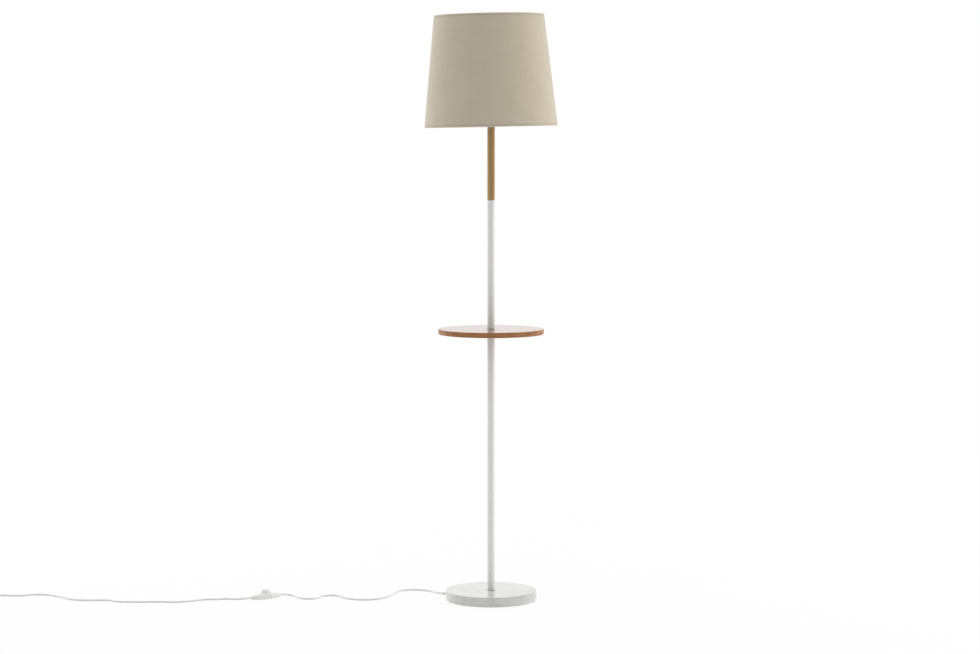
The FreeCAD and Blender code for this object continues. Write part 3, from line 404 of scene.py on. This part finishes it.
def flex(name, points):
    """A round cord on one smooth spline with these control points, in millimetres."""
    curve = bpy.data.curves.new(name, "CURVE")
    curve.dimensions = "3D"
    spline = curve.splines.new("NURBS")
    spline.points.add(len(points) - 1)
    for control, point in zip(spline.points, points):
        control.co = (*(point * MM), 1)
    spline.order_u = 3
    spline.use_endpoint_u = True
    spline.resolution_u = 10
    curve.bevel_depth = FLEX / 2 * MM
    curve.bevel_resolution = 4
    curve.use_fill_caps = True
    cord = bpy.data.objects.new(name, curve)
    bpy.context.collection.objects.link(cord)
    return cord


def cords(plug):
    """The free cord: from the base to the foot switch, and from there to the plug."""
    switch_end = SWITCH + SWITCH_AXIS * SWITCH_HALF
    lead = flex("lead_flex", [EXIT_POINT, EXIT_POINT + BASE_EXIT * 22] + on_floor(LEAD_ROUTE)
                + [LEAD_RISE, switch_end + SWITCH_AXIS * 15, switch_end])
    of_lamp(lead, "cord_pvc", "cord_lead")

    switch_end = SWITCH - SWITCH_AXIS * SWITCH_HALF
    upper = FLOOR_LINE + COIL_STEP
    run = [switch_end, switch_end - SWITCH_AXIS * 20] + on_floor(RUN_ROUTE)
    run += [Vector((COIL_X + 8, COIL_Y, FLOOR_LINE))] + coil_points()
    run += [Vector((COIL_X - 8, COIL_Y, upper)), Vector((COIL_X - 26, COIL_Y, upper))]
    run += [PLUG_NOSE - PLUG_AXIS * 21, PLUG_NOSE]
    long_flex = flex("long_flex", run)
    of_lamp(long_flex, "cord_pvc", "cord_run", "cord_coil", "cord_tail")


# --- turned pieces -------------------------------------------------------------------------

def start_alone(piece=None):
    """Object mode with nothing selected, or with this piece alone."""
    if bpy.context.mode != "OBJECT":
        bpy.ops.object.mode_set(mode="OBJECT")
    bpy.ops.object.select_all(action="DESELECT")
    if piece:
        piece.select_set(True)
        bpy.context.view_layer.objects.active = piece


def edit_all():
    """Edit mode with the whole mesh selected."""
    bpy.ops.object.mode_set(mode="EDIT")
    bpy.ops.mesh.select_all(action="SELECT")


def settle():
    """Puts the active piece's place, turn and scale into its mesh."""
    bpy.ops.object.transform_apply(location=True, rotation=True, scale=True)


def turned(name, profile, sides, closed=False):
    """A wall turned round Z through (radius, height) pairs in millimetres. The first ring is a
    circle, and each further one is extruded from the last."""
    start_alone()
    rings = [(radius * MM, height * MM) for radius, height in profile]
    bpy.ops.mesh.primitive_circle_add(vertices=sides, radius=rings[0][0],
                                      location=(0, 0, rings[0][1]))
    piece = bpy.context.object
    piece.name = piece.data.name = name
    settle()
    edit_all()
    for (radius, height), (next_radius, next_height) in zip(rings, rings[1:]):
        bpy.ops.mesh.extrude_region_move(
            TRANSFORM_OT_translate={"value": (0, 0, next_height - height)})
        grow = next_radius / radius
        bpy.ops.transform.resize(value=(grow, grow, 1), center_override=(0, 0, next_height))
    if closed:
        bpy.ops.mesh.select_all(action="SELECT")
        bpy.ops.mesh.region_to_loop()
        bpy.ops.mesh.bridge_edge_loops()
        bpy.ops.mesh.select_all(action="SELECT")
        bpy.ops.mesh.normals_make_consistent(inside=False)
    bpy.ops.object.mode_set(mode="OBJECT")
    return piece


def walled(piece, thickness):
    """Gives an open wall its thickness, to the inside."""
    start_alone(piece)
    middle = piece.data.polygons[len(piece.data.polygons) // 2]
    if middle.normal.dot(Vector((middle.center.x, middle.center.y, 0))) < 0:
        edit_all()
        bpy.ops.mesh.flip_normals()
        bpy.ops.object.mode_set(mode="OBJECT")
    solidify = piece.modifiers.new("wall", "SOLIDIFY")
    solidify.thickness = thickness * MM
    solidify.offset = -1
    bpy.ops.object.modifier_apply(modifier=solidify.name)


def bevelled(piece, width, degrees):
    """Eases the piece's edges that are sharper than this."""
    start_alone(piece)
    bevel = piece.modifiers.new("edges", "BEVEL")
    bevel.width = width * MM
    bevel.segments = 2
    bevel.limit_method = "ANGLE"
    bevel.angle_limit = math.radians(degrees)
    bpy.ops.object.modifier_apply(modifier=bevel.name)


def smooth(piece, degrees=35):
    start_alone(piece)
    bpy.ops.object.shade_smooth_by_angle(angle=math.radians(degrees))


def leaned(piece):
    """Stands a shade piece on its lower rim's height, leaning a little to the left."""
    start_alone(piece)
    piece.location = (0, 0, SHADE_LOW * MM)
    piece.rotation_euler = (0, math.radians(-SHADE_LEAN), 0)
    settle()


def mapped_round(piece):
    """A map in metres: round the shade and up it, with its seam at the back."""
    mesh = piece.data
    while mesh.uv_layers:
        mesh.uv_layers.remove(mesh.uv_layers[0])
    layer = mesh.uv_layers.new(name="round_and_up")
    mean = (SHADE_LOW_R + SHADE_TOP_R) / 2 * MM
    for face in mesh.polygons:
        facing = math.atan2(face.center.x, -face.center.y)
        for loop in face.loop_indices:
            point = mesh.vertices[mesh.loops[loop].vertex_index].co
            angle = math.atan2(point.x, -point.y)
            if angle - facing > math.pi:
                angle -= 2 * math.pi
            elif facing - angle > math.pi:
                angle += 2 * math.pi
            layer.data[loop].uv = (angle * mean, point.z)


# --- shade ---------------------------------------------------------------------------------

# The lower rim's height, the shade's own height, its lean in degrees, and its rims' radii.
SHADE_LOW, SHADE_H, SHADE_LEAN = 1257.3, 292.7, 1.1
SHADE_LOW_R, SHADE_TOP_R = 175.2, 144.6
# The cloth's thickness, and its radius round a rim wire.
LINEN, HEM = 0.7, 2.8
# The crease by a hem: its middle from the rim, then levels from that middle with how far the
# cloth sinks there.
CREASE = 5.0
CREASE_SHAPE = ((-0.9, 0.1), (-0.3, 0.75), (0.4, 0.8), (1.3, 0.2), (4.0, 0.05))
SHADE_SIDES = 240
# The overlap of the back seam: half its width in sides of the shade, where it starts above the
# lower rim, and how far it stands out.
SEAM_HALF, SEAM_FROM, SEAM_RAISED = 1.2, 4.5, 0.6


def shade_radius(height):
    return SHADE_LOW_R + (SHADE_TOP_R - SHADE_LOW_R) * height / SHADE_H


def shade_wall(margin, rows, behind=0.0):
    """Points up the shade from one margin to the other, this far behind its outside."""
    low, high = margin, SHADE_H - margin
    levels = [low + (high - low) * row / rows for row in range(rows + 1)]
    return [(shade_radius(level) - behind, level) for level in levels]


def hem_arc(upper):
    """The cloth round a rim wire, from the outside of the shade to its inside."""
    level = SHADE_H - HEM if upper else HEM
    radius = shade_radius(level) - HEM
    away = 1 if upper else -1
    steps = 10
    turns = [math.pi * step / steps for step in range(steps + 1)]
    arc = [(radius + HEM * math.cos(turn), level + away * HEM * math.sin(turn)) for turn in turns]
    return arc + [(radius - HEM, level - away * 3.0), (radius - HEM + 0.6, level - away * 7.0)]


def shade_cloth():
    """Linen from hem to hem, with a crease where it leaves each rim wire."""
    low_crease = [(CREASE + off, sunk) for off, sunk in CREASE_SHAPE]
    high_crease = [(SHADE_H - level, sunk) for level, sunk in reversed(low_crease)]
    wall = [(shade_radius(level) - sunk, level) for level, sunk in low_crease]
    wall += shade_wall(margin=14.0, rows=36)
    wall += [(shade_radius(level) - sunk, level) for level, sunk in high_crease]
    profile = hem_arc(False)[::-1] + wall + hem_arc(True)
    cloth = turned("shade_cloth", profile, SHADE_SIDES)
    seam_half = SEAM_HALF * 2 * math.pi / SHADE_SIDES
    for corner in cloth.data.vertices:
        angle = math.atan2(corner.co.x, corner.co.y)
        if -seam_half < angle < seam_half and corner.co.z > SEAM_FROM * MM:
            corner.co.xy *= 1 + SEAM_RAISED * MM / corner.co.xy.length
    walled(cloth, LINEN)
    mapped_round(cloth)
    leaned(cloth)
    smooth(cloth, 50)
    of_lamp(cloth, "linen", "shade_linen")


def shade_lining():
    """The white film behind the linen."""
    profile = shade_wall(margin=8.5, rows=12, behind=1.0)
    lining = turned("shade_lining", profile, SHADE_SIDES)
    walled(lining, 0.5)
    leaned(lining)
    smooth(lining)
    of_lamp(lining, "liner_plastic", "shade_liner")


# --- lampholder ----------------------------------------------------------------------------

# The sleeve's ends, radius and bore; its thread; the rings' radius, bore and thickness.
HOLDER_FOOT, HOLDER_TOP, HOLDER_R, HOLDER_BORE_R = 1289.0, 1327.0, 19.7, 17.7
THREAD_PITCH, THREAD_DEPTH = 2.5, 0.75
RING_R, RING_BORE_R, RING_T = 28.5, 20.0, 6.0


def threaded_sleeve():
    """The sleeve that the shade's rings screw on to: its thread is wound from one profile."""
    pitch, root = THREAD_PITCH, HOLDER_R - THREAD_DEPTH
    tooth = ((root, 0.7), (HOLDER_R, 0.6), (HOLDER_R, 0.6), (root, 0.6))
    start_alone()
    bpy.ops.mesh.primitive_plane_add(size=MM)
    sleeve = bpy.context.object
    sleeve.name = sleeve.data.name = "threaded_sleeve"
    edit_all()
    bpy.ops.mesh.merge(type="CENTER")
    bpy.ops.transform.translate(value=(root * MM, 0, (HOLDER_FOOT - pitch * 2) * MM))
    radius = root
    for _ in range(round((HOLDER_TOP - HOLDER_FOOT) / pitch) + 3):
        for next_radius, rise in tooth[1:] + tooth[:1]:
            bpy.ops.mesh.extrude_vertices_move(TRANSFORM_OT_translate={
                "value": ((next_radius - radius) * MM, 0, rise * MM)})
            radius = next_radius
    bpy.ops.object.mode_set(mode="OBJECT")
    screw = sleeve.modifiers.new("thread", "SCREW")
    screw.screw_offset = pitch * MM
    screw.steps = screw.render_steps = 72
    bpy.ops.object.modifier_apply(modifier=screw.name)
    edit_all()
    bpy.ops.mesh.remove_doubles(threshold=0.02 * MM)
    for level, facing in ((HOLDER_FOOT, -1), (HOLDER_TOP, 1)):
        bpy.ops.mesh.select_all(action="SELECT")
        bpy.ops.mesh.bisect(plane_co=(0, 0, level * MM), plane_no=(0, 0, facing),
                            use_fill=True, clear_outer=True)
    bpy.ops.mesh.select_all(action="SELECT")
    bpy.ops.mesh.normals_make_consistent(inside=False)
    bpy.ops.object.mode_set(mode="OBJECT")

    bpy.ops.mesh.primitive_cylinder_add(vertices=72, radius=HOLDER_BORE_R * MM, depth=0.1,
                                        location=(0, 0, HOLDER_TOP * MM))
    bore = bpy.context.object
    hollow = sleeve.modifiers.new("bore", "BOOLEAN")
    hollow.operation = "DIFFERENCE"
    hollow.object = bore
    start_alone(sleeve)
    bpy.ops.object.modifier_apply(modifier=hollow.name)
    bpy.data.objects.remove(bore)
    smooth(sleeve, 30)
    of_lamp(sleeve, "lampholder_plastic", "lampholder_sleeve")


def grip_ring(name, low, node):
    """A shade ring with notches for the fingers round its rim."""
    notches, per_notch, sunk = 30, 5, 0.9
    ring = turned(name, [(RING_BORE_R, low), (RING_R, low), (RING_R, low + RING_T),
                         (RING_BORE_R, low + RING_T)], notches * per_notch, closed=True)
    for corner in ring.data.vertices:
        if corner.co.xy.length > (RING_R - 0.1) * MM:
            turn = math.atan2(corner.co.y, corner.co.x) / (2 * math.pi) * notches * per_notch
            if round(turn) % per_notch < 2:
                corner.co.xy *= 1 - sunk / RING_R
    bevelled(ring, 0.35, 30)
    smooth(ring)
    of_lamp(ring, "lampholder_plastic", node)


# --- foot switch and plug ------------------------------------------------------------------

def copied(name, node):
    """A copy of a CAD piece with its mesh merged."""
    piece = bpy.data.objects.new(name, frame["nodes"][node].data.copy())
    piece.data.name = name
    bpy.context.collection.objects.link(piece)
    start_alone(piece)
    edit_all()
    bpy.ops.mesh.remove_doubles(threshold=0.001 * MM)
    bpy.ops.object.mode_set(mode="OBJECT")
    return piece


def eased(name, node, width=0.3):
    """A copy of a moulded piece of the foot switch with a small bevel on its sharp edges."""
    piece = copied(name, node)
    edit_all()
    bpy.ops.mesh.dissolve_limited(angle_limit=math.radians(0.5))
    bpy.ops.object.mode_set(mode="OBJECT")
    bevelled(piece, width, 40)
    smooth(piece, 30)
    return of_lamp(piece, "switch_plastic", node)


def pressed_spring():
    """The button's spring, on a mesh of its own; on the real switch it shortens as the button goes
    down.
    """
    spring = copied("button_spring", "switch_spring")
    smooth(spring, 40)
    of_lamp(spring, "zinc_steel", "switch_spring")
    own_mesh(spring)
    return spring


# The plug's length, and its width and thickness at the cord, between, and at the pins' face.
PLUG_LEN, PLUG_WAIST_AT = 37.0, 22.0
PLUG_TAIL, PLUG_WAIST, PLUG_FACE = (9.5, 8.0), (26.0, 12.0), (35.3, 13.7)


def plug_shell():
    """Moulded plug body: it widens from the cord to the face, with grooves for the fingers."""
    def across(level, axis):
        """Width or thickness on the parabola through the plug's three sections."""
        waist, full = PLUG_WAIST_AT, PLUG_LEN
        return (PLUG_TAIL[axis] * (level - waist) * (level - full) / (waist * full)
                + PLUG_WAIST[axis] * level * (level - full) / (waist * (waist - full))
                + PLUG_FACE[axis] * level * (level - waist) / (full * (full - waist)))

    stations = [(0.0, 0.7), (0.3, 0.25), (0.9, 0.0)]
    groove = ((-0.9, 0.0), (-0.5, 0.45), (0.5, 0.45), (0.9, 0.0))
    for middle in (6.0, 10.0, 14.0, 18.0, 22.0):
        stations += [(middle + off, sunk) for off, sunk in groove]
    stations += [(29.0, 0.0), (PLUG_LEN - 1.0, 0.0), (PLUG_LEN - 0.3, 0.25), (PLUG_LEN, 0.8)]
    rings = [(across(level, 1) - 2 * sunk, across(level, 0) - 2 * sunk, level)
             for level, sunk in stations]

    sides = 72
    start_alone()
    thick, wide, low = rings[0]
    bpy.ops.mesh.primitive_circle_add(vertices=sides, radius=thick / 2 * MM,
                                      location=(0, 0, low * MM),
                                      rotation=(0, 0, math.pi / sides))
    shell = bpy.context.object
    shell.name = shell.data.name = "plug_shell"
    settle()
    for corner in shell.data.vertices:
        corner.co.y += math.copysign((wide - thick) / 2 * MM, corner.co.y)
    edit_all()
    for (thick, wide, level), (next_thick, next_wide, next_level) in zip(rings, rings[1:]):
        bpy.ops.mesh.extrude_region_move(
            TRANSFORM_OT_translate={"value": (0, 0, (next_level - level) * MM)})
        bpy.ops.transform.resize(value=(next_thick / thick, next_wide / wide, 1),
                                 center_override=(0, 0, next_level * MM))
    bpy.ops.mesh.select_all(action="SELECT")
    bpy.ops.mesh.fill_holes(sides=0)
    bpy.ops.mesh.normals_make_consistent(inside=False)
    bpy.ops.object.mode_set(mode="OBJECT")
    shell.location = PLUG_NOSE * MM
    shell.rotation_euler = (0, math.pi / 2, PLUG_TURN)
    settle()
    smooth(shell, 32)
    return of_lamp(shell, "plug_plastic", "plug_body")


# --- light, floor and background -----------------------------------------------------------

# How strongly the sky lights the lamp from the side and from above, and how bright the dark
# front of the studio is in gloss.
SKY_LOW, SKY_TOP, GLOSS_FRONT = 0.49, 1.05, 0.12
# The floor's share of plain white near the lamp. It grows to all of it between two distances.
FLOOR_WHITE, WHITE_FROM = 0.92, (1.2, 3.5)
# Name, degrees from the camera towards +X, distance, width, and how bright a white face that
# looks at it gets. Then the lights' middle above the floor, and their size upwards.
LIGHTS = [("right_light", 102, 3.2, 3.2, 0.64), ("left_light", -125, 3.2, 3.2, 0.58)]
LIGHTS_MIDDLE, LIGHTS_TALL = 1.35, 2.6


def rays(tree):
    """Which kind of ray asks: one from the camera or through glass, and one in gloss."""
    camera, glossy, through = [tree.add("ShaderNodeLightPath", output=name) for name in
                               ("Is Camera Ray", "Is Glossy Ray", "Is Transmission Ray")]
    return camera.by("MAXIMUM", through), glossy


def sky():
    """White to the camera. In gloss it is white behind the lamp and dimmer in front of it, and
    it lights the lamp mostly from above."""
    world = bpy.data.worlds.new("studio")
    bpy.context.scene.world = world
    world.use_nodes = True
    tree = Finish(world.node_tree)
    way = tree.at((1, 1, 1))
    back, up = [tree.add("ShaderNodeSeparateXYZ", sockets={0: way}, output=axis)
                for axis in (1, 2)]
    direct, glossy = rays(tree)
    plain = up.by("MAXIMUM", 0) * (SKY_TOP - SKY_LOW) + SKY_LOW
    mirrored = tree.step(back, -0.75, 0.3) * (1 - GLOSS_FRONT) + GLOSS_FRONT
    strength = plain + direct * (1 - plain) + glossy * (mirrored - plain)
    light = tree.add("ShaderNodeBackground", sockets={"Color": (1, 1, 1), "Strength": strength})
    tree.add("ShaderNodeOutputWorld", sockets={"Surface": light})


def floor():
    """White to the camera and in gloss, with the lamp's soft shadow near its foot."""
    bpy.ops.mesh.primitive_plane_add(size=60, location=(0, 0, 0))
    ground = bpy.context.object
    ground.name = "floor"
    coat = Coat("pale_floor")
    direct, glossy = rays(coat)
    apart = coat.step(coat.length(coat.at((1, 1, 1))), *WHITE_FROM)
    white_share = apart * (1 - FLOOR_WHITE) + FLOOR_WHITE
    paint = coat.add("ShaderNodeBsdfDiffuse", sockets={"Color": (0.8, 0.8, 0.8)})
    white = coat.add("ShaderNodeEmission", sockets={"Color": (1, 1, 1), "Strength": 1.0})
    both = coat.add("ShaderNodeMixShader",
                    sockets={0: direct.by("MAXIMUM", glossy) * white_share, 1: paint, 2: white})
    coat.add("ShaderNodeOutputMaterial", sockets={"Surface": both})
    ground.data.materials.append(coat.material)


def lamps():
    for name, angle, distance, width, level in LIGHTS:
        side = math.radians(angle)
        place = Vector((math.sin(side), -math.cos(side), 0)) * distance
        place.z = LIGHTS_MIDDLE
        bpy.ops.object.light_add(type="AREA", location=place,
                                 rotation=(math.pi / 2, 0, side))
        light = bpy.context.object
        light.name = name
        light.data.shape = "RECTANGLE"
        light.data.size, light.data.size_y = width, LIGHTS_TALL
        light.data.energy = level * math.pi ** 2 * distance ** 2
        light.visible_camera = False
        light.visible_glossy = False


# --- put together --------------------------------------------------------------------------

camera()
nodes = frame["nodes"]
switch = [eased("footswitch_tray", "switch_base"), eased("footswitch_shell", "switch_cover"),
          pressed_spring()]
switch += [nodes["switch_" + name] for name in ("button", "contacts", "screws")]
cords([plug_shell(), nodes["plug_pins"], nodes["plug_pin_sleeves"]])
shade_cloth()
shade_lining()
threaded_sleeve()
grip_ring("lower_grip_ring", low=1295.0, node="shade_ring_lower")
grip_ring("upper_grip_ring", low=1302.9, node="shade_ring_upper")
slots = {part["node"]: part["material_slot"] for part in frame["record"]["subparts"]}
for name, node in nodes.items():
    wear(node, slots[name])
sky()
floor()
lamps()

bpy.context.scene.view_settings.view_transform = "Standard"
